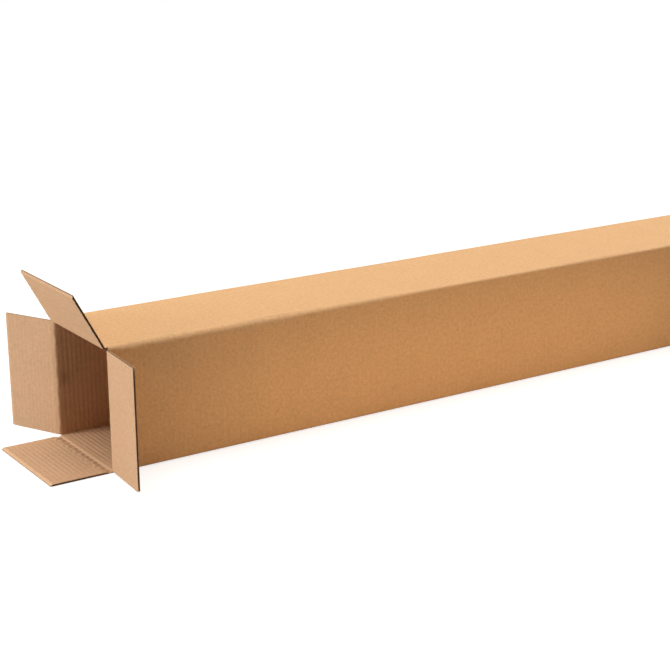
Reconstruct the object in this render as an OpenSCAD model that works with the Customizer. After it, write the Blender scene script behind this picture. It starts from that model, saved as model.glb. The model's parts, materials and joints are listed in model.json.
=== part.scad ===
// Long shipping carton of single-wall corrugated board, a regular slotted box
// that lies on its long side. The four flaps of one end stand open and the
// other end is folded shut and glued.
// X runs along the box with the open end at -X, Y goes from the front panel to
// the back panel and Z is up. The origin is the middle of the bottom panel's
// outer face. The flutes run round the girth, so they lie parallel to the
// scores that the flaps hinge on, and the flaps' side edges show them cut open.

/* [Box] */
// Clear length inside, from the shut end to the inner flaps when closed
inside_length = 1219.2; // [600:0.1:1800]
// Clear width inside, from the front panel to the back panel
inside_width = 152.4; // [100:0.1:300]
// Clear height inside
inside_height = 152.4; // [100:0.1:300]

/* [Board] */
// Thickness of the board over both liners
board_t = 3; // [2.6:0.1:4.5]
// Thickness of each liner
liner_t = 0.3; // [0.2:0.05:0.45]
// Thickness of the fluted middle sheet
medium_t = 0.25; // [0.15:0.05:0.4]
// Distance from one flute to the next
flute_pitch = 6.2; // [5.4:0.1:9]
// Share of a flute's pitch that is open between two glue lines
flute_open = 0.8; // [0.7:0.02:0.86]

/* [Folds and scores] */
// Inner radius of the long folds and of the shut end's folds
fold_r = 1; // [0.5:0.1:2]
// Half of the gap that a crushed score leaves between panel and flap
score_gap = 0.4; // [0.35:0.01:0.45]
// Thickness of liner that a crushed score leaves at the hinge line
score_skin = 0.25; // [0.15:0.01:0.3]
// Width of the crushed slope on each side of a score, which has no flutes
crush_w = 7.5; // [5:0.5:12]

/* [Flaps] */
// Clearance of a flap's sides and of the stacked flaps when closed
flap_clear = 0.4; // [0.3:0.1:2]
// Gap between the two flaps of a pair when closed
meet_gap = 0.8; // [0.6:0.1:6]
// Angle that the top flap stands open from straight out
top_open = 62; // [0:1:150]
// Angle that the bottom flap stands open from straight out
bottom_open = 0; // [0:1:150]
// Angle that the front flap stands open from straight out
front_open = 86; // [0:1:150]
// Angle that the back flap stands open from straight out
back_open = 64; // [0:1:150]

/* [Glue joint] */
// Width of the glue tab under the top panel
tab_w = 32; // [20:1:60]
// Distance of the tab's ends from the panels' scores
tab_inset = 14; // [10:1:40]
// Slant of the tab's ends
tab_slant = 15; // [0:1:45]

/* [Hidden] */
$fn = 48;
outer_w = inside_width + 2 * board_t;
outer_h = inside_height + 2 * board_t;
fold_out = fold_r + board_t;
// Slot between two flaps: this much is cut off each of them beside the fold
slot_side = board_t + flap_clear;
// The outer pair's scores stand one board further out than the inner pair's
stack = board_t + flap_clear;
outer_l = inside_length + stack + 3 * board_t;
// Score of the top and bottom flaps, score of the front and back flaps
x_outer = -outer_l / 2;
x_inner = x_outer + stack;
// Shut end: outer face, and the face between its outer and inner flaps
x_shut = outer_l / 2;
x_stack = x_shut - board_t;
// The slots of the shut end stop where its inner flaps begin to fold
x_slot = x_stack - fold_out;
outer_depth = (outer_h - meet_gap) / 2;
inner_depth = (outer_w - meet_gap) / 2;
outer_flap_w = outer_w - 2 * slot_side;
inner_flap_w = outer_h - 2 * slot_side;
// Swing of the middle sheet's centre line between the liners
swing = board_t / 2 - liner_t - medium_t / 2;
card = [0.78, 0.60, 0.40];
card_inside = [0.84, 0.68, 0.52];

// Underside of the middle sheet over a flute, at x from the flute's middle
function sheet_x(x) = let (s = swing * 2 * PI / flute_pitch * sin(360 * x / flute_pitch))
    x - medium_t / 2 * s / sqrt(1 + s * s);
function sheet_y(x) = let (s = swing * 2 * PI / flute_pitch * sin(360 * x / flute_pitch))
    board_t / 2 + swing * cos(360 * x / flute_pitch) - medium_t / 2 / sqrt(1 + s * s);

// Extrude a section drawn as (Y, Z) along X, from x0 to x1
module along_x(x0, x1) {
    translate([x0, 0, 0])
        rotate([90, 0, 90])
            linear_extrude(height = x1 - x0) children();
}

// Extrude a section drawn as (X, Z) along Y, over a width about the middle
module along_y(width) {
    rotate([90, 0, 0])
        linear_extrude(height = width, center = true) children();
}

// Rectangle with rounded corners about its middle
module round_rect(w, h, r) {
    square([w - 2 * r, h], center = true);
    square([w, h - 2 * r], center = true);
    for (y = [-1, 1], z = [-1, 1])
        translate([y * (w / 2 - r), z * (h / 2 - r)]) circle(r);
}

// Section of the wrapped panels: three folded corners and the glued corner,
// where the top panel's cut edge covers the fold of the glue tab
module wrap_section() {
    corner = [outer_w / 2 - fold_out, outer_h / 2 - board_t - fold_out];
    difference() {
        union() {
            round_rect(outer_w, outer_h, fold_out);
            translate(corner) square([fold_out, fold_out + board_t]);
        }
        round_rect(inside_width, inside_height, fold_r);
        difference() {
            translate(corner + [fold_out * 0.6, 0]) square([fold_out, fold_out]);
            translate(corner) circle(fold_out);
        }
    }
}

// Root of a flap at a crushed score: x runs away from the score, y from the
// outer face inwards, and the crushed slope leaves room for folding in
module scored_root(length) {
    polygon([[score_gap, 0], [length, 0], [length, board_t], [crush_w, board_t],
             [score_gap, score_skin]]);
}

// What the score and its crushed slope take away from the end of a panel
module score_cut() {
    past = stack + 1;
    over = board_t + fold_r + 1;
    polygon([[-past, -1], [score_gap, -1], [score_gap, score_skin],
             [crush_w, board_t], [crush_w, over], [-past, over]]);
}

// Panel and flap folded through a right angle, outer corner at the origin,
// panel along -x and flap along -y
module folded_edge(run, drop) {
    translate([-run, -board_t]) square([run - fold_out, board_t]);
    translate([-board_t, -drop]) square([board_t, drop - fold_out]);
    intersection() {
        translate([-fold_out, -fold_out]) square(fold_out);
        translate([-fold_out, -fold_out]) difference() {
            circle(fold_out);
            circle(fold_r);
        }
    }
}

// Hollow of one flute on the outer liner, about the flute's middle
module flute_hollow() {
    half = flute_open * flute_pitch / 2;
    steps = 8;
    polygon(concat([[half, liner_t], [-half, liner_t]],
        [for (i = [0 : steps]) let (x = half * (2 * i / steps - 1))
            [i == 0 ? -half : i == steps ? half : sheet_x(x), sheet_y(x)]]));
}

// Section of a flap: scored root, crushed band, then flutes to the cut edge
module flap_section(depth) {
    half = flute_open * flute_pitch / 2;
    difference() {
        scored_root(depth);
        for (k = [0.5 : 0.5 : (depth - crush_w) / flute_pitch + 1])
            let (x = crush_w + k * flute_pitch)
                if (abs(x + half - depth) > 0.5 && x - half < depth - 0.5)
                    translate([x, k % 1 == 0 ? board_t : 0])
                        mirror([0, k % 1 == 0 ? 1 : 0]) flute_hollow();
    }
}

// Flap with its score along z: x away from the score, y inwards
module flap(depth, width) {
    linear_extrude(height = width, center = true) flap_section(depth);
}

// Four panels wrapped round the girth, with the scored ends of the open end
module wrapped_panels() {
    difference() {
        union() {
            translate([0, 0, outer_h / 2]) along_x(x_inner, x_slot) wrap_section();
            for (m = [0, 1])
                translate([x_outer, -outer_flap_w / 2, m * (outer_h - board_t)])
                    cube([stack + fold_out, outer_flap_w, board_t]);
        }
        for (m = [0, 1]) {
            translate([x_outer, 0, m * outer_h])
                mirror([0, 0, m])
                    along_y(inside_width) score_cut();
            mirror([0, m, 0])
                translate([x_inner, -outer_w / 2, board_t])
                    linear_extrude(height = inside_height) score_cut();
        }
    }
}

// Flaps of the shut end: front and back folded in first, top and bottom over
// them, glued where they lie on each other
module shut_end() {
    for (m = [0, 1]) {
        translate([x_shut, 0, m * outer_h])
            mirror([0, 0, 1 - m])
                along_y(outer_flap_w)
                    folded_edge(x_shut - x_slot + fold_out, outer_depth);
        mirror([0, m, 0])
            translate([x_stack, outer_w / 2, slot_side])
                linear_extrude(height = inner_flap_w)
                    folded_edge(2 * fold_out, inner_depth);
    }
}

// Tab of the back panel, folded in and glued under the top panel
module glue_tab() {
    x0 = x_inner + tab_inset;
    x1 = x_stack - board_t - tab_inset;
    y0 = inside_width / 2 - tab_w;
    y1 = inside_width / 2 + board_t / 2;
    lean = (y1 - y0) * tan(tab_slant);
    translate([0, 0, outer_h - 2 * board_t])
        linear_extrude(height = 1.5 * board_t)
            polygon([[x0, y1], [x0 + lean, y0], [x1 - lean, y0], [x1, y1]]);
}

module tube() {
    color(card) {
        wrapped_panels();
        shut_end();
        glue_tab();
    }
}

module top_flap() {
    color(card_inside)
        translate([x_outer, 0, outer_h])
            rotate([0, top_open, 0])
                rotate([-90, 0, 180]) flap(outer_depth, outer_flap_w);
}

module bottom_flap() {
    color(card_inside)
        translate([x_outer, 0, 0])
            rotate([0, -bottom_open, 0])
                rotate([90, 0, 180]) flap(outer_depth, outer_flap_w);
}

module front_flap() {
    color(card_inside)
        translate([x_inner, -outer_w / 2, outer_h / 2])
            rotate([0, 0, front_open])
                rotate([0, 180, 0]) flap(inner_depth, inner_flap_w);
}

module back_flap() {
    color(card_inside)
        translate([x_inner, outer_w / 2, outer_h / 2])
            rotate([0, 0, -back_open])
                rotate([0, 0, 180]) flap(inner_depth, inner_flap_w);
}

tube();
top_flap();
bottom_flap();
front_flap();
back_flap();
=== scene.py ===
# %% [markdown]
# A long shipping carton
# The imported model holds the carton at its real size: a folded blank called
# tube, and four flaps that turn on creased scores. This lesson dresses those
# plain solids in the paper they are made of. Everything is worked out in
# millimetres and goes into the meshes in metres, in the same frame.

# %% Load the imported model
import json
import math

import bpy
import numpy as np
from mathutils import Matrix, Vector


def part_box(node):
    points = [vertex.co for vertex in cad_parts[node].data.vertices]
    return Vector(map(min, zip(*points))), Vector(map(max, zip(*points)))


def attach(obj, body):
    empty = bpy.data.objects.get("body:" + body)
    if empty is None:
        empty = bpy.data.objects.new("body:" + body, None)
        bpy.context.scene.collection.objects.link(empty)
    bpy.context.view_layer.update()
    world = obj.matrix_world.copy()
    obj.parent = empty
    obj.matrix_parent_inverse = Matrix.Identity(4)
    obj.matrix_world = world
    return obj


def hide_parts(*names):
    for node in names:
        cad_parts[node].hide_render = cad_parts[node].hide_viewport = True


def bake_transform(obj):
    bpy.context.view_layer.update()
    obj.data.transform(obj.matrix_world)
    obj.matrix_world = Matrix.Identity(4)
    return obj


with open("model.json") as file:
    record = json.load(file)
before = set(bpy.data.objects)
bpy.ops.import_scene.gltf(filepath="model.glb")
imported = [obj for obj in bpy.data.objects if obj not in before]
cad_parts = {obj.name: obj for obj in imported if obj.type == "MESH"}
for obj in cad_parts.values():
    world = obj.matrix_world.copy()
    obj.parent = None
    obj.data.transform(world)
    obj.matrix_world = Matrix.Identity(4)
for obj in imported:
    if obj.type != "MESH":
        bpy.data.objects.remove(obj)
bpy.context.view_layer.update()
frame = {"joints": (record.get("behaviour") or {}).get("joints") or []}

# %% [markdown]
# The driving sizes
# The solids already say how large the carton is and where its scores lie, so
# those numbers are read from the frame and not typed again. What the solids
# don't say, such as the height of a flute, is the board itself: two liners
# with a wavy sheet between them.

# %% Sizes from the frame
MM = 0.001


def corners(node):
    """Lowest and highest corner of a solid, in millimetres."""
    return [np.array(corner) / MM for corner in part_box(node)]


x_shut, half_w, outer_h = corners("tube")[1]
hinges = {joint["child"]: joint for joint in frame["joints"]}
# Scores of the top and bottom flaps, and of the front and back flaps
x_outer = hinges["top"]["pos_m"][0] / MM
x_inner = hinges["front"]["pos_m"][0] / MM
flap_low, flap_high = corners("bottom_flap")
flap_depth = x_outer - flap_low[0]
flap_half = flap_high[1]
print(f"carton {x_shut - x_outer:.1f} x {2 * half_w:.1f} x {outer_h:.1f} mm,",
      f"flaps {flap_depth:.1f} x {2 * flap_half:.1f} mm")

# %% Sizes of the board
board_t = 3.0
liner_t = 0.3
medium_t = 0.25
pitch = 6.2
# Radii of a fold on its outer and its inner face
fold_out = 4.0
fold_in = 1.0
# Width that a slot takes off a flap's side
slot_side = half_w - flap_half
# Shut end: where its inner flaps lie, and where its slots stop
x_stack = x_shut - board_t
x_slot = x_stack - fold_out
# Swing of the wavy sheet's middle about the middle of the board
swing = board_t / 2 - liner_t - medium_t / 2
print(f"board of {board_t} mm with {(x_slot - x_inner) / pitch:.0f} flutes along the panels")

# %% [markdown]
# Paper finishes
# Kraft paper is never one flat colour. Pulp settles in clouds, fibres lie
# along the machine direction and bark leaves dark flecks. Where the flutes
# print through the liner as faint ribs, the group also paints their light
# and shade as faint stripes. These effects are the same on every face, so
# they form one node group that reads the board's own coordinates: u runs
# across the flutes and v along them, both in metres. A painted image could do
# the same, but noise in board coordinates follows each flap as it folds.

# %% Node helpers
def node(tree, kind, inputs=None, **settings):
    """Adds a shader node, sets its properties, then fills or links its inputs."""
    made = tree.nodes.new(kind)
    for name, value in settings.items():
        setattr(made, name, value)
    for name, value in (inputs or {}).items():
        if isinstance(value, bpy.types.NodeSocket):
            tree.links.new(value, made.inputs[name])
        else:
            made.inputs[name].default_value = value
    return made


def math_node(tree, operation, a, b=0.0):
    """One sum, product or other operation of two values."""
    return node(tree, "ShaderNodeMath", {0: a, 1: b}, operation=operation).outputs[0]


def noise(tree, place, across, along, detail=3.0):
    """Cloudy noise between 0 and 1, with so many clouds to the metre across and along the flutes."""
    spread = node(tree, "ShaderNodeMapping", {"Vector": place, "Scale": (across, along, 1)})
    cloud = node(tree, "ShaderNodeTexNoise", {
        "Vector": spread.outputs[0], "Scale": 1.0, "Detail": detail, "Roughness": 0.6})
    return cloud.outputs["Fac"]


def spread_about(tree, value, amount):
    """Turns noise about 0.5 into a signed change: (noise - 0.5) x amount."""
    centred = math_node(tree, "SUBTRACT", value, 0.5)
    return math_node(tree, "MULTIPLY", centred, amount)


# %% The kraft paper group
# How strongly each effect changes the colour, on papers that give no amount of their own
# Rib paints stripes of light and shade at the flute pitch, where the ribs print through
usual_amounts = {"Cloud": 0.12, "Mottle": 0.40, "Streak": 0.10, "Fibre": 0.62, "Rib": 0.004, "Fleck": 0.45}
# Levels of the speck noise at which a fleck of bark begins and is at its darkest
fleck_from = 0.73
fleck_full = 0.78


def kraft_group():
    """Tone = 1 + clouds + mottle + streaks + fibres + painted light and shade of the ribs - flecks, which
    multiplies the paper's colour.

    Roughness = 0.72 + 0.2 x fibres. Height = fibres + 0.6 x streaks, without a unit, for a Bump node.
    """
    tree = bpy.data.node_groups.new("kraft_paper", "ShaderNodeTree")
    face = tree.interface
    paper = face.new_socket("Paper", in_out="INPUT", socket_type="NodeSocketColor")
    paper.default_value = (0.7, 0.45, 0.22, 1)
    for name, value in usual_amounts.items():
        face.new_socket(name, in_out="INPUT", socket_type="NodeSocketFloat").default_value = value
    face.new_socket("Color", in_out="OUTPUT", socket_type="NodeSocketColor")
    face.new_socket("Roughness", in_out="OUTPUT", socket_type="NodeSocketFloat")
    face.new_socket("Height", in_out="OUTPUT", socket_type="NodeSocketFloat")
    given = tree.nodes.new("NodeGroupInput").outputs
    board = node(tree, "ShaderNodeUVMap", uv_map="board").outputs[0]

    cloud = noise(tree, board, 22, 22, detail=4)
    mottle = noise(tree, board, 230, 190, detail=4)
    streak = noise(tree, board, 420, 9)
    fibre = noise(tree, board, 1100, 520)
    speck = noise(tree, board, 420, 330, detail=1)
    across = node(tree, "ShaderNodeSeparateXYZ", {0: board}).outputs[0]
    # A cosine at the flute pitch: painted light and shade of the printed ribs
    wave = math_node(tree, "COSINE", math_node(tree, "MULTIPLY", across, 2 * math.pi / (pitch * MM)))

    tone = 1.0
    for name, pattern in (("Cloud", cloud), ("Mottle", mottle), ("Streak", streak), ("Fibre", fibre)):
        tone = math_node(tree, "ADD", tone, spread_about(tree, pattern, given[name]))
    tone = math_node(tree, "ADD", tone, math_node(tree, "MULTIPLY", wave, given["Rib"]))
    dark = node(tree, "ShaderNodeMapRange", {
        "Value": speck, "From Min": fleck_from, "From Max": fleck_full}).outputs[0]
    tone = math_node(tree, "SUBTRACT", tone, math_node(tree, "MULTIPLY", dark, given["Fleck"]))

    colour = node(tree, "ShaderNodeVectorMath", {0: given["Paper"], "Scale": tone}, operation="SCALE")
    rough = math_node(tree, "ADD", 0.72, math_node(tree, "MULTIPLY", fibre, 0.2))
    height = math_node(tree, "ADD", fibre, math_node(tree, "MULTIPLY", streak, 0.6))
    node(tree, "NodeGroupOutput", {"Color": colour.outputs[0], "Roughness": rough, "Height": height})
    return tree


kraft = kraft_group()
print("node group", kraft.name, "with", len(kraft.nodes), "nodes")

# %% [markdown]
# A stain and painted shade
# A carton that has been handled isn't spotless: this one has a small smudge
# low on its front panel. The inner back wall gets painted shade: a darker
# patch beside the mouth, where the wall lies in shadow. Both could be painted
# on an image. A patch that fades with the distance from one point of the
# board needs none, and a little noise frays its rim.

# %% The group for a stain and painted shade
def stain_and_shade_group():
    """Tone = 1 - depth x nearness, which falls from 1 at a point of the board to 0 at the radius.

    The distance from the point is multiplied by 0.5 + noise, so the rim is ruffled.
    """
    tree = bpy.data.node_groups.new("stain_and_shade", "ShaderNodeTree")
    face = tree.interface
    for name, kind in (("Centre", "Vector"), ("Radius", "Float"), ("Depth", "Float")):
        face.new_socket(name, in_out="INPUT", socket_type="NodeSocket" + kind)
    face.new_socket("Tone", in_out="OUTPUT", socket_type="NodeSocketFloat")
    given = tree.nodes.new("NodeGroupInput").outputs
    board = node(tree, "ShaderNodeUVMap", uv_map="board").outputs[0]
    gap = node(tree, "ShaderNodeVectorMath", {0: board, 1: given["Centre"]}, operation="DISTANCE")
    ruffle = math_node(tree, "ADD", 0.5, noise(tree, board, 160, 160, detail=2))
    away = math_node(tree, "MULTIPLY", gap.outputs["Value"], ruffle)
    near = node(tree, "ShaderNodeMapRange", {
        "Value": away, "From Min": 0.0, "From Max": given["Radius"], "To Min": 1.0, "To Max": 0.0})
    loss = math_node(tree, "MULTIPLY", near.outputs[0], given["Depth"])
    node(tree, "NodeGroupOutput", {"Tone": math_node(tree, "SUBTRACT", 1.0, loss)})
    return tree


stain_and_shade = stain_and_shade_group()
# Where the girth, counted from the seam over top and front, reaches the feet of the front and back panels
panel_w = 2 * half_w
front_foot = panel_w + outer_h
back_foot = front_foot + panel_w
# Each patch's place along the carton and round the girth, its radius, and the share of light it takes
smudge = (-198.0, front_foot - 34, 6.0, 0.09)
# This patch is painted shade on the inner back wall by the mouth, where the wall lies in shadow
painted_shade_patch = (x_inner + 9, back_foot + 73, 15.0, 0.22)
print("node group", stain_and_shade.name, "with", len(stain_and_shade.nodes), "nodes")

# %% [markdown]
# The four papers
# The board shows four kinds of paper: a golden outer liner, a pinker inner
# liner, the raw cut edges, and the wavy sheet between the liners. Each could
# have its own set of nodes. They are all kraft, though, so each is a material
# with the same group inside and a colour and amounts of its own.

# %% Papers
# Height of the fibres in millimetres, and how little the paper shines
fibre_high = 0.08
paper_shine = 0.25


def paper_finish(name, colour, mark=None, **amounts):
    """A material of kraft paper: the group's colour and roughness, and its height as a fine bump.

    mark gives one darker patch on it, a stain on the outer liner and painted shade on the inner one: u and
    v on the board and the radius in millimetres, and its depth.
    """
    made = bpy.data.materials.new(name)
    made.use_nodes = True
    tree = made.node_tree
    shader = tree.nodes["Principled BSDF"]
    paper = node(tree, "ShaderNodeGroup", node_tree=kraft)
    paper.inputs["Paper"].default_value = (*colour, 1)
    for socket, amount in amounts.items():
        paper.inputs[socket].default_value = amount
    bump = node(tree, "ShaderNodeBump", {
        "Height": paper.outputs["Height"], "Distance": fibre_high * MM, "Strength": 0.6})
    seen = paper.outputs["Color"]
    if mark:
        u, v, radius, depth = mark
        spot = node(tree, "ShaderNodeGroup", node_tree=stain_and_shade)
        spot.inputs["Centre"].default_value = (u * MM, v * MM, 0)
        spot.inputs["Radius"].default_value = radius * MM
        spot.inputs["Depth"].default_value = depth
        darkened = node(tree, "ShaderNodeVectorMath", {
            0: seen, "Scale": spot.outputs["Tone"]}, operation="SCALE")
        seen = darkened.outputs[0]
    tree.links.new(seen, shader.inputs["Base Color"])
    tree.links.new(paper.outputs["Roughness"], shader.inputs["Roughness"])
    tree.links.new(bump.outputs[0], shader.inputs["Normal"])
    shader.inputs["Specular IOR Level"].default_value = paper_shine
    return made


papers = [
    paper_finish("outer_liner", (0.670, 0.387, 0.180), mark=smudge, Mottle=0.47, Fibre=0.75),
    # The inner liner carries painted shade: a darker patch on the back wall by the mouth, and stronger
    # painted rib stripes
    paper_finish("inner_liner", (0.630, 0.384, 0.220), mark=painted_shade_patch, Rib=0.015),
    paper_finish("raw_edge", (0.580, 0.380, 0.230), Cloud=0.2, Fibre=0.3, Rib=0.0),
    paper_finish("fluting", (0.500, 0.332, 0.200), Cloud=0.2, Fibre=0.3, Rib=0.0),
]
OUTER, INNER, EDGE, WAVE = range(4)
print("papers:", [paper.name for paper in papers])

# %% [markdown]
# Sheets as grids of points
# A sheet of paper is a grid: one direction across the flutes, one along them,
# and a depth below the outer face. A function place(u, s, depth) says where a
# point of the flat board ends up once it is folded. The same few lines then
# make a closed shell of any sheet: its two faces, and a strip round its rim.
# Planes bent by modifiers would fold too, but would not crush at a score.

# %% Shells from grids
def grid_quads(number, closed=False):
    """Quads of a grid of point numbers: each joins a point to the next one along both directions."""
    if closed:
        number = np.concatenate([number, number[:, :1]], axis=1)
    quads = [number[:-1, :-1], number[:-1, 1:], number[1:, 1:], number[1:, :-1]]
    return np.stack(quads, axis=-1).reshape(-1, 4)


def rim(number):
    """Point numbers once round the border of a grid, along its first side first."""
    return np.concatenate([number[:, 0], number[-1, 1:], number[-2::-1, -1], number[0, -2:0:-1]])


def turned_over(quads):
    """The same quads seen from behind: the first corner stays and the others run the other way round."""
    return quads[:, [0, 3, 2, 1]]


def face_out(points, quads, inside, outside):
    """Turns all quads over if the first one's normal doesn't point from inside to outside."""
    a, b, c = points[quads[0, :3]]
    wrong = np.cross(b - a, c - a) @ (outside - inside) < 0
    return turned_over(quads) if wrong else quads


def paper_shell(place, u, s, outer, inner, finish):
    """A closed shell of one paper between the depths outer(u, s) and inner(u, s).

    finish gives the paper of its outer face, inner face and rim.
    """
    across, along = np.meshgrid(u, s, indexing="ij")
    depths = [outer(across, along), inner(across, along)]
    points = np.concatenate([place(across, along, depth).reshape(-1, 3) for depth in depths])
    top = np.arange(across.size).reshape(across.shape)
    low = top + across.size
    border = np.stack([rim(top), rim(low)])
    parts = [grid_quads(top), turned_over(grid_quads(low)), grid_quads(border, closed=True)]
    quads = face_out(points, np.concatenate(parts), points[low[0, 0]], points[top[0, 0]])
    paper = np.repeat(finish, [len(part) for part in parts])
    board = np.tile(np.stack([across, along], axis=-1).reshape(-1, 2), (2, 1))
    return points, quads, board, paper


small_grid = np.arange(12).reshape(3, 4)
print("a grid of 3 x 4 points:", len(grid_quads(small_grid)), "quads,", len(rim(small_grid)), "on its rim")

# %% Meshes from shells
# Edges that turn more than this are shaded sharp
SHARP = math.radians(35)


def make_piece(name, shells):
    """One object from several shells: their arrays one after another, board coordinates as a UV map."""
    starts = np.cumsum([0] + [len(shell[0]) for shell in shells[:-1]])
    points = np.concatenate([shell[0] for shell in shells]) * MM
    quads = np.concatenate([shell[1] + start for shell, start in zip(shells, starts)])
    board = np.concatenate([shell[2] for shell in shells]) * MM
    paper = np.concatenate([shell[3] for shell in shells])
    mesh = bpy.data.meshes.new(name)
    mesh.vertices.add(len(points))
    mesh.vertices.foreach_set("co", points.astype(np.float32).ravel())
    mesh.loops.add(quads.size)
    mesh.loops.foreach_set("vertex_index", quads.astype(np.int32).ravel())
    mesh.polygons.add(len(quads))
    mesh.polygons.foreach_set("loop_start", np.arange(0, quads.size, 4, dtype=np.int32))
    mesh.polygons.foreach_set("material_index", paper.astype(np.int32))
    mesh.polygons.foreach_set("use_smooth", np.ones(len(quads), bool))
    layer = mesh.uv_layers.new(name="board")
    layer.data.foreach_set("uv", board[quads.ravel()].astype(np.float32).ravel())
    mesh.update(calc_edges=True)
    mesh.validate()
    mesh.set_sharp_from_angle(angle=SHARP)
    for finish in papers:
        mesh.materials.append(finish)
    made = bpy.data.objects.new(name, mesh)
    bpy.context.scene.collection.objects.link(made)
    print(f"{name}: {len(points)} points, {2 * len(quads)} triangles")
    return made


# %% [markdown]
# The wrap
# Four panels and a glue tab are one sheet, folded round the contents. Its
# section is a line round the girth with a rounded corner at each fold. The
# line is carried along the carton station by station, four stations to a
# flute, so the flutes print through as real ripples. Solidify on a folded
# plane would give one thickness everywhere. Here the inner face is a line of
# its own, so the board can thin out where the scores crush it.

# %% Columns round the girth
TOP, FRONT, BOTTOM, BACK, TAB = range(5)
# Which way the line runs on each of them, in y and z
ways = np.array([[-1, 0], [0, -1], [1, 0], [0, 1], [-1, 0]])
# How deep the seam's cut edge is open, just short of the slot
lip = slot_side - 0.2
top_run = panel_w - fold_out
# Shares of each straight where a column of points stands. The first and last ones lie close beside the
# folds, which keeps the panels flat, and there are more columns where the paper dips or rises
beside = 0.0004
ridge_share = 0.985
straights = [
    [0, lip / top_run, slot_side / top_run, 0.12, 0.25, 0.45, 0.65, 0.82, 0.93, 0.968, ridge_share,
     1 - beside],
    [0.004, 0.02, 0.04, 0.07, 0.12, 0.2, 0.3, 0.5, 0.7, 0.88, 0.996],
    [beside, 0.25, 0.5, 0.75, 1 - beside],
    [0.004, 0.2, 0.4, 0.6, 0.8, 0.996],
    [beside, 0.5, 1],
]
# Columns round each fold
turns = [7, 5, 5, 4]
print("columns on the straights:", [len(shares) for shares in straights], "and round the folds:", turns)


# %% The line round the girth
def girth_line(bends, start, end):
    """Columns of a line from start round four bends to end: place = base + radius of each bend x lever.

    A bend's point is its corner + radius x (out - in + in x sin - out x cos), where in and out are the ways
    of the two straights. A straight runs between the ends of its bends.
    """
    knots = np.array([start, *bends, end])
    base, lever, normal, panel = [], [], [], []
    for k, (way, shares) in enumerate(zip(ways, straights)):
        share = np.array(shares)[:, None]
        base.append(knots[k] + share * (knots[k + 1] - knots[k]))
        arm = np.zeros((len(shares), 4, 2))
        if k > 0:
            arm[:, k - 1] = (1 - share) * way
        if k < 4:
            arm[:, k] = -share * way
        lever.append(arm)
        normal.append(np.tile([way[1], -way[0]], (len(shares), 1)))
        panel.append(np.full(len(shares), k))
        if k < 4:
            angle = np.linspace(0, math.pi / 2, turns[k])[:, None]
            after = ways[k + 1]
            out = way * np.sin(angle) - after * np.cos(angle)
            arm = np.zeros((turns[k], 4, 2))
            arm[:, k] = after - way + out
            base.append(np.tile(knots[k + 1], (turns[k], 1)))
            lever.append(arm)
            normal.append(out)
            panel.append(np.full(turns[k], -1 - k))
    return [np.concatenate(part) for part in (base, lever, normal, panel)]


tab_w = 32.0
tab_z = outer_h - board_t
tab_y = half_w - board_t - tab_w
clear_w = half_w - board_t
# Papers that are glued to each other keep this far apart
glue = 0.05
outer_base, outer_lever, outer_normal, panel_of = girth_line(
    [(-half_w, outer_h), (-half_w, 0), (half_w, 0), (half_w, tab_z - glue)],
    (half_w, outer_h), (tab_y, tab_z - glue))
inner_base, inner_lever, inner_normal, _ = girth_line(
    [(-clear_w, tab_z), (-clear_w, board_t), (clear_w, board_t), (clear_w, tab_z - board_t)],
    (half_w, tab_z), (tab_y, tab_z - board_t))
columns = len(panel_of)
print(f"girth line: {columns} columns on each face")

# %% Stations along the carton
# The board bends within this distance of a score, where the flaps take over from the panels
BEND = 2.0
# Distance over which the stations lean from straight to each column's own end
lean = 90.0
stations_per_flute = 4
tab_inset = 14.0
tab_slant = math.tan(math.radians(15))
steps = round(stations_per_flute * (x_slot - x_inner) / pitch)
stations = np.linspace(x_inner, x_slot, 1 + steps)[:, None]
# All four panels end in a score, apart from the strip of the top panel beside the slot
scored = np.isin(panel_of, (TOP, FRONT, BOTTOM, BACK))
scored[:2] = False
outer_pair = scored & np.isin(panel_of, (TOP, BOTTOM))
tab_reach = np.where(panel_of == TAB, half_w - board_t - outer_base[:, 0], 0)
trim = np.where(panel_of == TAB, tab_inset + tab_reach * tab_slant, 0.0)
near_shift = trim + np.where(scored, BEND, 0) - np.where(outer_pair, x_inner - x_outer, 0)
fade_near = np.clip(1 - (stations - x_inner) / lean, 0, 1) ** 2
fade_far = np.clip(1 - (x_slot - stations) / lean, 0, 1) ** 2
x = stations + fade_near * near_shift - fade_far * trim
print(f"{len(stations)} stations, {stations[1, 0] - stations[0, 0]:.2f} mm apart")

# %% [markdown]
# Folds and relief of the wrap
# A used carton is never quite true. The near fold is worn round and uneven by
# the mouth and crisp further on, the panels swell a little, the flutes print
# through the liners, and the scores press lines into them. A displacement
# texture could raise and sink the faces, but it can't give a fold a radius of
# its own at every station, so both are worked out as arrays here.

# %% Curves of crushed and printed board
def smooth_step(value, low, high):
    """0 below low, 1 above high and a smooth S between them."""
    share = np.clip((value - low) / (high - low), 0, 1)
    return share * share * (3 - 2 * share)


def squeeze(away, slope, left):
    """Thickness of the board at a distance from a score: what is left there, and full past the slope.

    Between them it grows with the share of the slope to the power 0.9, so the slope is slightly crowned.
    """
    return left + (board_t - left) * np.clip(away / slope, 0, 1) ** 0.9


groove_deep = 0.3
groove_wide = 2.5


def groove(away):
    """Depth of the shallow line that a score presses into the outer face: a bell curve about the score."""
    return groove_deep * np.exp(-(away / groove_wide) ** 2)


def rib(u):
    """1 where the wavy sheet is glued to the inner liner, 0 halfway, where it is glued to the outer one."""
    return 0.5 + 0.5 * np.cos(2 * math.pi * u / pitch)


print("board beside a score, in mm:", squeeze(np.array([0.0, 1.5, 3.0]), 3.0, 1.0).round(2))

# %% Folds
# The near fold takes its shape just behind the corner of the mouth, soft and worn, and is crisp further on
from_mouth = stations - x_inner
settled = smooth_step(from_mouth, 2, 26)
soft = 1 - smooth_step(from_mouth, 60, 380)
worn = 1 - smooth_step(from_mouth, 150, 560)
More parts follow.
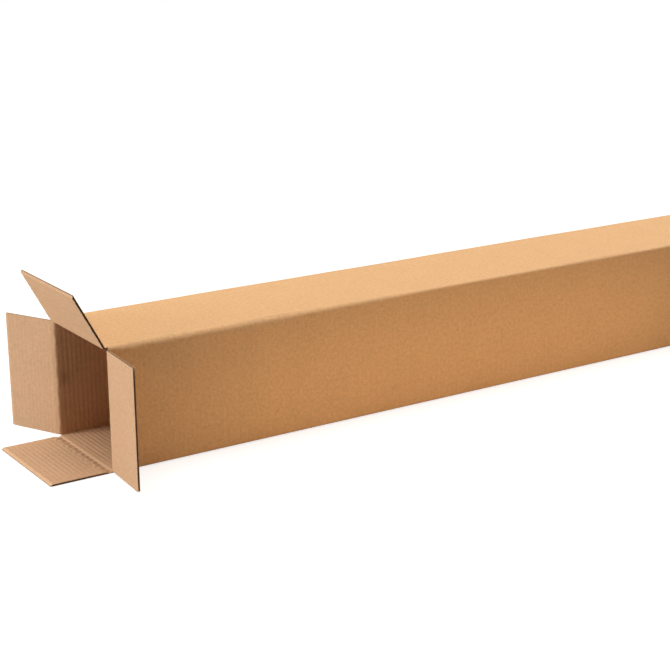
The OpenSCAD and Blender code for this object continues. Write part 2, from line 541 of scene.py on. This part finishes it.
# Three waves along it: share, length and start of each
waves = [(0.5, 31.0, 0.0), (0.5, 12.7, 1.0), (0.4, 5.9, 2.0)]
uneven = sum(share * np.sin(from_mouth / length + start) for share, length, start in waves)
# How much the radius grows where the fold is worn, and how much sharper it is all along
worn_round = 4.2
crisp = 0.8
front_top = fold_out + settled * (worn_round * worn - crisp + (0.2 + 0.5 * soft) * uneven)
front_foot_fold = 3.6
back_foot_fold = 3.8
other_folds = np.tile([front_foot_fold, back_foot_fold, fold_out], (len(stations), 1))
radius_out = np.concatenate([front_top, other_folds], axis=1)
radius_in = np.full_like(radius_out, fold_in)


def folded(base, lever, radius):
    """The girth line at every station: base + radius of each bend there x its lever, as y and z."""
    return base + np.einsum("nk,jkc->njc", radius, lever)


outer_yz = folded(outer_base, outer_lever, radius_out)
inner_yz = folded(inner_base, inner_lever, radius_in)
print(f"near fold: radius up to {front_top.max():.1f} mm by the mouth,",
      f"{front_top[-1, 0]:.1f} mm at the far end")

# %% Relief of the outer face
# How far the outer liner sinks between two flutes
outer_sag = 0.05


def swell(along, girth):
    """Slow waves of the panels in mm: two broad sine waves multiplied + a finer, slanted one."""
    broad = 0.22 * np.sin(along / 83 + girth / 61) * np.sin(girth / 37 + 1.3)
    fine = 0.12 * np.sin(along / 29 + girth / 23 + 2)
    return broad + fine


away = x - np.where(outer_pair, x_outer, x_inner)
ends = smooth_step(away, 0, 12) * smooth_step(x_slot - x, 0, 10)
girth = np.concatenate([[0], np.cumsum(np.linalg.norm(np.diff(outer_yz[0], axis=0), axis=1))])
flat = panel_of >= 0
drift = swell(x, girth)
# The front panel is pressed in below the worn fold: most at 7 mm, and no more at 45 mm
below = np.where(panel_of == FRONT, girth - girth[panel_of == FRONT][0], 0)
dip = smooth_step(below, 0, 7) - smooth_step(below, 7, 45)
dents = -0.3 * settled * (0.15 + soft) * (1 + 0.7 * uneven) * dip
# Where the fold is crisp, it has pushed up a thin ridge beside it on the top panel
ridge_column = straights[TOP].index(ridge_share)
ridge = 0.28 * np.exp(-((np.arange(columns) - ridge_column) / 0.6) ** 2) * (panel_of == TOP) * (1 - soft)
rippled = outer_sag * rib(x - x_inner) * flat
outer_rise = ends * (drift * flat - rippled + ridge * (1 + 0.4 * np.sin(x / 9)) + dents)
outer_yz = outer_yz + (outer_rise - groove(away) * scored)[..., None] * outer_normal
print(f"outer relief {outer_rise.min():.2f} to {outer_rise.max():.2f} mm")

# %% Relief of the inner face
# Width of the slope that a score crushes on its panel, and the thickness left at each score
panel_slope = 3.0
crushed = {"top": 2.4, "front": 2.4, "bottom": 1.0, "back": 1.9}
# The inner liner sags deeper between two flutes on the bottom and back panels, where it shows
inner_sag = np.where(np.isin(panel_of, (BOTTOM, BACK)), 0.55, 0.2)
inner_sink = ends * (-drift * flat + inner_sag * (1 - rib(x - x_inner)) * flat)
# Every column gets a thickness, and only those that end in a score use it
left = np.array([crushed[name] for name in ("top", "front", "bottom", "back")])[panel_of % 4]
inner_sink = inner_sink + np.where(scored, board_t - squeeze(away, panel_slope, left), 0)
inner_yz = inner_yz + inner_sink[..., None] * inner_normal
print(f"inner relief {inner_sink.min():.2f} to {inner_sink.max():.2f} mm, left at the scores:", crushed)

# %% The wrap's loop of points
def at_stations(along, yz):
    """Points of some columns, each at its own stations."""
    return np.concatenate([np.broadcast_to(along, yz.shape[:2])[..., None], yz], axis=-1)


# Four points line the open cut edge of the seam
lip_yz = np.array([(half_w, tab_z + liner_t), (half_w - lip, tab_z + liner_t),
                   (half_w - lip, outer_h - liner_t), (half_w, outer_h - liner_t)])
lip_yz = np.broadcast_to(lip_yz, (len(x), 4, 2))
loop = np.concatenate([at_stations(x, outer_yz), at_stations(x, inner_yz)[:, ::-1],
                       at_stations(x[:, :1], lip_yz)], axis=1)
number = np.arange(loop[..., 0].size).reshape(loop.shape[:2])
facing = np.repeat([OUTER, EDGE, INNER, EDGE], [columns - 1, 1, columns - 1, 5])
print(f"{loop.shape[1]} points round the section at each station")


# %% The wrap's closed shell
def end_cap(row, points, way):
    """Quads that close one end between the two faces, turned to face along way.

    At the seam the two liners are strips of their own, with the open flutes between them. Two quads join
    the strips to the rest of the board.
    """
    outer_row = row[:columns]
    inner_row = row[columns:2 * columns][::-1]
    low_in, deep_in, deep_out, high_out = row[2 * columns:]
    quads = np.stack([outer_row[2:-1], outer_row[3:], inner_row[3:], inner_row[2:-1]], axis=1)
    joins = [[outer_row[1], outer_row[2], inner_row[2], deep_out],
             [inner_row[2], inner_row[1], deep_in, deep_out]]
    lips = [[outer_row[0], outer_row[1], deep_out, high_out],
            [low_in, deep_in, inner_row[1], inner_row[0]]]
    quads = np.concatenate([quads, joins, lips])
    return face_out(points, quads, np.zeros(3), np.array([way, 0, 0]))


wrap_points = loop.reshape(-1, 3)
# One column's points on the inner and the outer face tell which way is out
walls = face_out(wrap_points, grid_quads(number, closed=True), loop[0, 2 * columns - 4], loop[0, 3])
caps = [end_cap(number[0], wrap_points, -1), end_cap(number[-1], wrap_points, 1)]
wrap_quads = np.concatenate([walls, *caps])
wrap_paper = np.concatenate([np.tile(facing, len(x) - 1), np.full(sum(map(len, caps)), EDGE)])
round_girth = np.concatenate([girth, girth[::-1], np.zeros(4)])
wrap_board = np.stack([loop[..., 0], np.broadcast_to(round_girth, loop.shape[:2])], axis=-1).reshape(-1, 2)
wrap = make_piece("wrap", [(wrap_points, wrap_quads, wrap_board, wrap_paper)])
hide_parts("tube")

# %% [markdown]
# The seam's open flutes
# Where the top panel ends over the glue tab, its cut edge looks out along the
# whole back of the carton. The blade cuts across the flutes there, so the wavy
# sheet shows between the liners. A drawn wave would stay flat from nearby. So
# it is a sine wave with a thickness, swept a few millimetres deep, just as far
# as the eye reaches into the edge.

# %% The wavy sheet
PER_FLUTE = 10
# The sheet keeps this far from the ends of the seam, starts this deep in its cut edge, and runs this far
# into the board behind
seam_inset = 0.3
cut_inset = 0.12
sunk = 0.05


def wavy(face):
    """Depth of one face of the wavy sheet: middle of the board + swing x cosine + face x half thickness.

    face is -1 for the face towards the outer liner, and 1 for the other one.
    """
    def depth(u, s):
        return board_t / 2 + swing * np.cos(2 * math.pi * u / pitch) + face * medium_t / 2
    return depth


def on_seam(u, s, depth):
    """Board at the seam: u runs along the carton from the inner score, s from the cut edge inwards."""
    return np.stack([x_inner + u, half_w - s, outer_h - depth], axis=-1)


seam_end = x_slot - x_inner - seam_inset
seam_u = np.linspace(seam_inset, seam_end, round(PER_FLUTE * (x_slot - x_inner) / pitch))
seam_s = np.array([cut_inset, lip + sunk])
seam_sheet = paper_shell(on_seam, seam_u, seam_s, wavy(-1), wavy(1), [WAVE, WAVE, WAVE])
seam = make_piece("seam_flutes", [seam_sheet])

# %% [markdown]
# The shut end
# At the far end the front and back flaps are folded in first, and the top and
# bottom flaps are glued over them. Each flap runs on from its panel, round a
# quarter turn and across the end. A plain plate would close the end as well,
# but a flap made of its three papers shows open flutes on its side edges.

# %% Flaps round a quarter turn
# Which way is inwards from each flap's panel, and which way runs along its score
inwards = {"top": (0, 0, -1), "bottom": (0, 0, 1), "front": (0, 1, 0), "back": (0, -1, 0)}
asides = {"top": (0, 1, 0), "bottom": (0, 1, 0), "front": (0, 0, 1), "back": (0, 0, 1)}
# Length of board in a quarter turn, along the middle of the board
quarter = math.pi / 2 * (fold_out - board_t / 2)


def round_end(hinge_x, inward, aside, face):
    """place(u, s, depth) for a flap that runs on from x_slot, turns round the end and goes on inwards.

    The turn is a quarter circle about a point one fold radius below the outer face.
    """
    run = hinge_x - fold_out - x_slot

    def place(u, s, depth):
        angle = np.clip((u - run) / quarter, 0, 1) * math.pi / 2
        along = x_slot + np.clip(u, 0, run) + (fold_out - depth) * np.sin(angle)
        below = fold_out - (fold_out - depth) * np.cos(angle) + np.clip(u - run - quarter, 0, None)
        where = face + below[..., None] * np.array(inward) + s[..., None] * np.array(aside)
        where[..., 0] = along
        return where

    return place, run + quarter + flap_depth - fold_out


print(f"a quarter turn takes {quarter:.2f} mm of board")


# %% Three papers to a flap
def three_papers(place, reach, width, shape, root=0.0, samples=8, recess=0.0):
    """Outer liner, wavy sheet and inner liner of one flap. shape(u, s, depth) crushes or bends the depths.

    The wavy sheet ends a recess short of the cut edge.
    """
    s = np.linspace(-width, width, samples)

    def span(end):
        return np.linspace(root, end, round(PER_FLUTE * (end - root) / pitch))

    def at(depth):
        return lambda u, s: shape(u, s, depth(u, s) if callable(depth) else depth + 0 * u)

    layers = [
        (reach, 0.0, liner_t, [OUTER, WAVE, EDGE]),
        (reach - recess, wavy(-1), wavy(1), [WAVE, WAVE, WAVE]),
        (reach, board_t - liner_t, board_t, [WAVE, INNER, EDGE]),
    ]
    return [paper_shell(place, span(end), s, at(upper), at(lower), finish)
            for end, upper, lower, finish in layers]


# %% The four shut flaps
def plain(u, s, depth):
    """Board that is neither crushed nor bent."""
    return depth


middle = outer_h / 2
shut_x = {"top": x_shut, "bottom": x_shut, "front": x_stack - glue, "back": x_stack - glue}
faces = {"top": (0, 0, outer_h), "bottom": (0, 0, 0),
         "front": (0, -half_w, middle), "back": (0, half_w, middle)}
shut = []
for name, inward in inwards.items():
    place, reach = round_end(shut_x[name], inward, asides[name], np.array(faces[name], float))
    shut += three_papers(place, reach, flap_half, plain)
shut_end = make_piece("shut_end", shut)
for piece in (wrap, seam, shut_end):
    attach(piece, "box")

# %% [markdown]
# The open flaps Each flap of the mouth hangs on a crushed score. Beside the
# score the flutes are flattened, so the three papers close up to a thinner,
# bumpy band that bends. A stiff panel on a hinge would gape there.

# %% A flap on its hinge
# A flap shuts a right angle in from straight out, so its lower limit tells how far open it stands at rest
open_deg = {child: -joint["range_deg"][0] - 90 for child, joint in hinges.items()}


def on_hinge(child, inward, aside):
    """place(u, s, depth) for a flap: straight on from its panel, then turned outwards about the hinge line.

    u runs away from the score, s along it. The turn grows from 0 to the flap's opening within BEND of
    the score. The points where it starts and ends come with it.
    """
    hinge = np.array(hinges[child]["pos_m"]) / MM
    opening = math.radians(open_deg[child])
    ahead = np.array([-1.0, 0, 0])
    inward = np.array(inward, float)
    aside = np.array(aside, float)

    def place(u, s, depth):
        turn = (opening * smooth_step(u, -BEND, BEND))[..., None]
        out = ahead * np.cos(turn) - inward * np.sin(turn)
        down = inward * np.cos(turn) + ahead * np.sin(turn)
        return hinge + u[..., None] * out + depth[..., None] * down + s[..., None] * aside

    tip = ahead * math.cos(opening) - inward * math.sin(opening)
    return place, hinge - BEND * ahead, hinge + BEND * tip


print("open at rest, in degrees:", open_deg)

# %% Wear of each flap
# Width of the slope that the score crushes on the flap
flap_slope = {"top": 3.75, "front": 3.75, "bottom": 7.0, "back": 3.75}
# How much the blade has pressed the board together along the cut edge and along the side edges
pinched = {"top": 1.4, "front": 0.3, "bottom": 2.1, "back": 0.9}
pressed = {"top": 0.0, "front": 0.0, "bottom": 0.6, "back": 0.0}
# How far in from the cut edge the wavy sheet ends
recessed = {"top": 0.6, "front": 2.5, "bottom": 0.0, "back": 1.0}
# How deep the inner liner sags between two flutes
printed_deep = {"top": 0.26, "front": 0.16, "bottom": 0.18, "back": 0.16}
# Height of the bumps along the score, their distance, and the samples along the flap that show them
bump_high = {"top": 0.1, "front": 0.1, "bottom": 0.4, "back": 0.1}
bump_pitch = {"top": 27.0, "front": 27.0, "bottom": 11.5, "back": 27.0}
samples_of = {"top": 33, "front": 33, "bottom": 97, "back": 33}
print("bumps along the scores, in mm:", bump_high)

# %% Shape of a worn flap
# The first row of bumps lies this far from the score. Each row is this angle out of step with the next
first_row = 4
row_shift = 2.1


def wandering_score(u, wave):
    """Distance from a score that wanders by 0.7 mm x two sine waves, which fade out 10 mm away from it."""
    nearby = smooth_step(u, -BEND, -1) * (1 - smooth_step(u, 5, 10))
    return u + 0.7 * nearby * (np.sin(wave) + 0.5 * np.sin(1.7 * wave))


def crushed_bumps(u, wave, high):
    """Rows of bumps up to 15 mm from the score: height x cosine squared across x two sine waves along."""
    band = smooth_step(u, 1, 4) * (1 - smooth_step(u, 10, 15))
    row = row_shift * np.round((u - first_row) / pitch)
    dabs = np.sin(wave + row) + 0.7 * np.sin(0.61 * wave + 2 * row)
    return high * np.cos(math.pi * (u - first_row) / pitch) ** 2 * dabs * band


def pressed_rim(child, u, s):
    """How much thinner the blade left the board within 3.2 mm of the cut edge and 1.6 mm of the sides."""
    cut = pinched[child] * smooth_step(u, flap_depth - 3.2, flap_depth - 0.4)
    return np.maximum(cut, pressed[child] * smooth_step(np.abs(s), flap_half - 1.6, flap_half))


def printed_flutes(child, u, wave, share):
    """How far the liners sink between the flutes past the slope: evenly outside, in broken lines inside."""
    full = smooth_step(u, flap_slope[child], flap_slope[child] + 4)
    broken = 1 + 0.6 * np.sin(0.9 * wave + row_shift * np.floor(u / pitch))
    return full * (outer_sag * rib(u) * (1 - share) - printed_deep[child] * broken * (1 - rib(u)) * share)


def crushed_root(child, phase):
    """shape(u, s, depth) for an open flap: share of the depth x thickness + groove + printed flutes."""
    def shape(u, s, depth):
        wave = 2 * math.pi * s / bump_pitch[child] + phase
        score = wandering_score(u, wave)
        on_panel = squeeze(-score, panel_slope, crushed[child])
        on_flap = squeeze(score, flap_slope[child], crushed[child])
        thick = np.where(score < 0, on_panel, on_flap)
        thick = thick + crushed_bumps(u, wave, bump_high[child]) - pressed_rim(child, u, s)
        share = depth / board_t
        return share * thick + groove(u) + printed_flutes(child, u, wave, share)
    return shape


# %% The four open flaps
for order, (child, inward) in enumerate(inwards.items()):
    place, start, end = on_hinge(child, inward, asides[child])
    sheets = three_papers(place, flap_depth, flap_half, crushed_root(child, 2 * order),
                          root=-BEND, samples=samples_of[child], recess=recessed[child])
    flap = make_piece(child + "_flap_board", sheets)
    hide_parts(child + "_flap")
    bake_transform(flap)

# %% [markdown]
# Floor and backdrop
# The carton lies on a plain white floor that runs out to the horizon. Strong
# lamps could make it white, but they would bleach the paper too. So floor and
# sky give a white of their own to rays that look at them, and the floor still
# takes the carton's shadow.

# %% Floor
def looked_at(tree):
    """1 for rays that look at a surface, from the camera, off a shine or through glass, else 0."""
    rays = tree.nodes.new("ShaderNodeLightPath").outputs
    seen = math_node(tree, "MAXIMUM", rays["Is Camera Ray"], rays["Is Glossy Ray"])
    return math_node(tree, "MAXIMUM", seen, rays["Is Transmission Ray"])


# The floor's own light in the reach of the shadow and far from it, with the distances in metres
glow_near = 0.72
glow_far = 1.0
shadow_reach = 0.9
far_reach = 2.2


def white_floor():
    """Plain floor: a pale diffuse that takes shadows, with light of its own for rays that look at it."""
    made = bpy.data.materials.new("white_floor")
    made.use_nodes = True
    tree = made.node_tree
    tree.nodes.clear()
    pale = node(tree, "ShaderNodeBsdfDiffuse", {"Color": (0.45, 0.44, 0.42, 1)})
    place = node(tree, "ShaderNodeTexCoord").outputs["Object"]
    away = node(tree, "ShaderNodeVectorMath", {0: place}, operation="LENGTH").outputs["Value"]
    level = node(tree, "ShaderNodeMapRange", {
        "Value": away, "From Min": shadow_reach, "From Max": far_reach,
        "To Min": glow_near, "To Max": glow_far})
    strength = math_node(tree, "MULTIPLY", looked_at(tree), level.outputs[0])
    glow = node(tree, "ShaderNodeEmission", {"Strength": strength})
    both = node(tree, "ShaderNodeAddShader", {0: pale.outputs[0], 1: glow.outputs[0]})
    node(tree, "ShaderNodeOutputMaterial", {"Surface": both.outputs[0]})
    return made


floor_half = 6.0
# Just under the bottom panel, which waves a little
floor_z = -0.0003
floor_rim = [(floor_half * a, floor_half * b, floor_z) for a, b in ((-1, -1), (1, -1), (1, 1), (-1, 1))]
floor_mesh = bpy.data.meshes.new("floor")
floor_mesh.from_pydata(floor_rim, [], [(0, 1, 2, 3)])
floor_mesh.materials.append(white_floor())
floor = bpy.data.objects.new("floor", floor_mesh)
bpy.context.scene.collection.objects.link(floor)
print(f"floor of {2 * floor_half:.0f} x {2 * floor_half:.0f} m")

# %% Sky
ambient = 0.06
world = bpy.data.worlds.new("studio")
bpy.context.scene.world = world
world.use_nodes = True
sky = world.node_tree
sky.nodes.clear()
strength = math_node(sky, "ADD", ambient, math_node(sky, "MULTIPLY", looked_at(sky), 1 - ambient))
backdrop = node(sky, "ShaderNodeBackground", {"Color": (1, 1, 1, 1), "Strength": strength})
node(sky, "ShaderNodeOutputWorld", {"Surface": backdrop.outputs[0]})
print(f"sky: white to the eye, {ambient} as light")

# %% [markdown]
# Light
# A studio lights such a carton from large soft boxes, so its shadows are
# faint. Two lamps hang above it and two stand to the left of the open end. A
# low, warm strip lies in front, where light comes back off the floor. A sun or
# one small lamp would be simpler, but would leave hard shadows in the mouth.

# %% Lamps
def soft_lamp(name, place, aim, size, watts, colour=(1, 1, 1), height=None):
    """Area lamp at a place, turned to an aim, all in metres. It is square unless a height is given."""
    data = bpy.data.lights.new(name, "AREA")
    data.shape = "RECTANGLE"
    data.size = size
    data.size_y = height or size
    data.energy = watts
    data.color = colour
    lamp = bpy.data.objects.new(name, data)
    bpy.context.scene.collection.objects.link(lamp)
    back = Vector(place) - Vector(aim)
    lamp.matrix_world = Matrix.Translation(place) @ back.to_track_quat("Z", "Y").to_matrix().to_4x4()
    print(f"{name}: {watts} W from {back.length:.2f} m")


warm = (1.0, 0.72, 0.46)
soft_lamp("mouth_light", (-1.0, 0.3, 2.4), (-0.6, 0, 0), 1.6, 40)
soft_lamp("top_light", (1.5, 0.3, 2.1), (0.4, 0, 0.1), 1.8, 44.5)
soft_lamp("side_light", (-3.1, 0.6, 0.6), (-0.6, 0, 0.1), 1.2, 41)
soft_lamp("corner_light", (-2.3, 0.5, 1.4), (-0.62, 0, 0.05), 1.0, 9)
soft_lamp("front_light", (-0.06, -0.3, 0.055), (-0.06, -0.08, 0.055), 0.95, 0.66, warm, height=0.08)

# %% [markdown]
# Camera
# The camera stands in front, to the left of the open end and above the carton.
# It could be placed by eye. Here the lens and the standpoint were worked out
# from the carton's long edges, which run towards one vanishing point.

# %% Camera
camera_data = bpy.data.cameras.new("camera")
camera_data.sensor_width = 36
camera_data.lens = 85.0
camera_data.clip_end = 50
camera = bpy.data.objects.new("camera", camera_data)
bpy.context.scene.collection.objects.link(camera)
standpoint = np.array([-1370.5, -1716.8, 698.0]) * MM
turn = math.radians(-33.336)
nod = math.radians(16.415)
roll = math.radians(-0.412)
ahead = np.array([-math.sin(turn) * math.cos(nod), math.cos(turn) * math.cos(nod), -math.sin(nod)])
level = np.array([math.cos(turn), math.sin(turn), 0])
upright = np.cross(level, ahead)
right = math.cos(roll) * level + math.sin(roll) * upright
up = math.cos(roll) * upright - math.sin(roll) * level
axes = np.stack([right, up, -ahead, standpoint], axis=1)
camera.matrix_world = Matrix([*axes.tolist(), [0, 0, 0, 1]])
bpy.context.scene.camera = camera
bpy.context.scene.view_settings.view_transform = "Standard"
print(f"camera at {standpoint.round(3)} m with a {camera_data.lens} mm lens")
